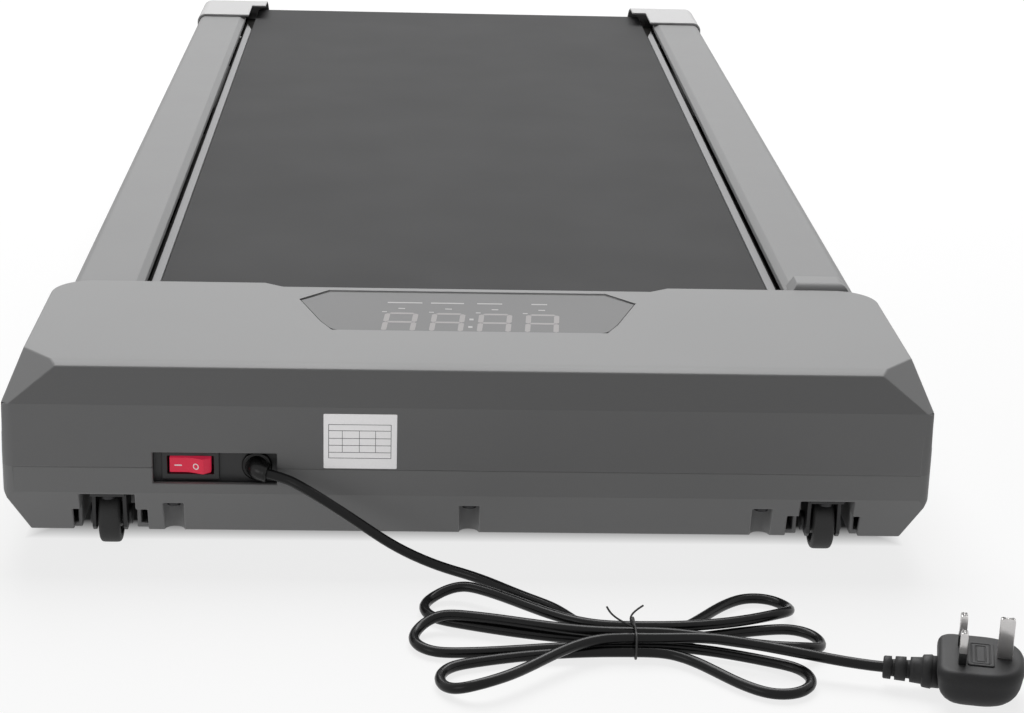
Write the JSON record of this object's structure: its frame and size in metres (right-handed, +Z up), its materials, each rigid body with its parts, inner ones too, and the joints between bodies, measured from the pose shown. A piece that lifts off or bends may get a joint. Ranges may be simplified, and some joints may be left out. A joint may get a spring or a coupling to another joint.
{
  "type": "walking pad",
  "caption": "Flat under-desk walking pad with a motor hood, smoked display window, running belt between side rails, transport wheels, rocker switch and tied mains cord with plug.",
  "frame": {"origin": "on the floor, below the middle of the machine without its mains cord", "axes": "+X to the right seen from the motor end, +Y along the belt from the motor end to the tail, +Z up"},
  "size_m": [0.568, 1.4278, 0.1215],
  "materials": {
    "hood_plastic": "satin moulded, silver grey",
    "pan_plastic": "fine moulded grain, silver grey",
    "cap_plastic": "satin moulded, pale silver",
    "strip_plastic": "smooth moulded, grey",
    "black_plastic": "fine moulded grain, black",
    "smoked_window": "smoked grey, semi-matte",
    "rocker_red": "translucent red",
    "rail_aluminium": "satin silver",
    "frame_paint": "black powder coat",
    "steel": "turned and zinc plated",
    "cast_metal": "turned",
    "running_belt_rubber": "fine diamond texture, matte",
    "soft_rubber": "matte",
    "wheel_tyre": "matte",
    "deck_board": "waxed fibreboard",
    "circuit_board": "solder mask",
    "component_mix": "sleeved",
    "heatsink_aluminium": "extruded",
    "digit_block": "dark, with clear segments",
    "brass": "bright",
    "tie_wire": "black coated wire"
  },
  "bodies": {
    "frame": {"motor_hood": "hood_plastic", "belly_pan": "pan_plastic", "housing_screws": "steel", "display_lens": "smoked_window", "display_board": "circuit_board", "display_digits": "digit_block", "switch_plate": "black_plastic", "switch_housing": "black_plastic", "switch_terminals": "brass", "cord_gland": "black_plastic", "side_beam_left": "frame_paint", "side_beam_right": "frame_paint", "front_tray": "frame_paint", "deck_cross_bars": "frame_paint", "running_deck": "deck_board", "deck_cushions": "soft_rubber", "frame_screws": "steel", "deck_edge_strips": "strip_plastic", "running_belt": "running_belt_rubber", "front_axle": "steel", "tension_brackets": "frame_paint", "motor_can": "frame_paint", "motor_mount": "frame_paint", "drive_belt": "soft_rubber", "controller_board": "circuit_board", "board_standoffs": "brass", "controller_heatsink": "heatsink_aluminium", "controller_components": "component_mix", "side_rail_left": "rail_aluminium", "side_rail_right": "rail_aluminium", "rail_block_right": "cap_plastic", "rear_end_cap_left": "cap_plastic", "rear_end_cap_right": "cap_plastic", "rear_feet": "soft_rubber", "wheel_forks": "steel", "cord_lead": "soft_rubber", "cord_hank": "soft_rubber", "cord_tail": "soft_rubber", "cord_tie": "tie_wire", "plug_body": "black_plastic", "plug_pins": "brass", "fuse_carrier": "black_plastic", "plug_relief": "soft_rubber"},
    "front_roller": {"front_roller_tube": "steel", "front_roller_bearings": "steel", "roller_pulley": "cast_metal"},
    "rear_axle": {"rear_axle": "steel"},
    "rear_roller": {"rear_roller_tube": "steel", "rear_roller_bearings": "steel"},
    "motor_rotor": {"motor_shaft": "steel", "motor_armature": "cast_metal", "motor_pulley": "steel", "motor_flywheel": "cast_metal"},
    "tension_bolt_left": {"tension_bolt_left": "steel"},
    "tension_bolt_right": {"tension_bolt_right": "steel"},
    "wheel_left": {"wheel_hub_left": "black_plastic", "wheel_tyre_left": "wheel_tyre"},
    "wheel_right": {"wheel_hub_right": "black_plastic", "wheel_tyre_right": "wheel_tyre"},
    "rocker": {"rocker": "rocker_red"}
  },
  "joints": [
    {"name": "front_roller_spin", "type": "hinge", "parent": "frame", "child": "front_roller", "pos_m": [0, -0.487, 0.0807], "axis": [1, 0, 0], "continuous": true},
    {"name": "rear_axle_slide", "type": "slide", "parent": "frame", "child": "rear_axle", "axis": [0, 1, 0], "range_m": [-0.008, 0]},
    {"name": "rear_roller_spin", "type": "hinge", "parent": "rear_axle", "child": "rear_roller", "pos_m": [0, 0.584, 0.0807], "axis": [1, 0, 0], "continuous": true},
    {"name": "motor_spin", "type": "hinge", "parent": "frame", "child": "motor_rotor", "pos_m": [0, -0.562, 0.065], "axis": [1, 0, 0], "continuous": true},
    {"name": "tension_bolt_left_turn", "type": "hinge", "parent": "frame", "child": "tension_bolt_left", "pos_m": [-0.2175, 0.6, 0.0807], "axis": [0, 1, 0], "range_deg": [-2340, 36]},
    {"name": "wheel_left_spin", "type": "hinge", "parent": "frame", "child": "wheel_left", "pos_m": [-0.2143, -0.592, 0.017], "axis": [1, 0, 0], "continuous": true},
    {"name": "tension_bolt_right_turn", "type": "hinge", "parent": "frame", "child": "tension_bolt_right", "pos_m": [0.2175, 0.6, 0.0807], "axis": [0, 1, 0], "range_deg": [-2340, 36]},
    {"name": "wheel_right_spin", "type": "hinge", "parent": "frame", "child": "wheel_right", "pos_m": [0.2143, -0.592, 0.017], "axis": [1, 0, 0], "continuous": true},
    {"name": "rocker_tip", "type": "hinge", "parent": "frame", "child": "rocker", "pos_m": [-0.165, -0.6061, 0.0564], "axis": [0, 0, 1], "range_deg": [0, 18]}
  ],
  "couplings": [
    {"joint": "rear_roller_spin", "follows": "front_roller_spin", "ratio": 1},
    {"joint": "motor_spin", "follows": "front_roller_spin", "ratio": 2.7273},
    {"joint": "tension_bolt_left_turn", "follows": "rear_axle_slide", "rad_per_m": 5026.5},
    {"joint": "tension_bolt_right_turn", "follows": "rear_axle_slide", "rad_per_m": 5026.5}
  ]
}
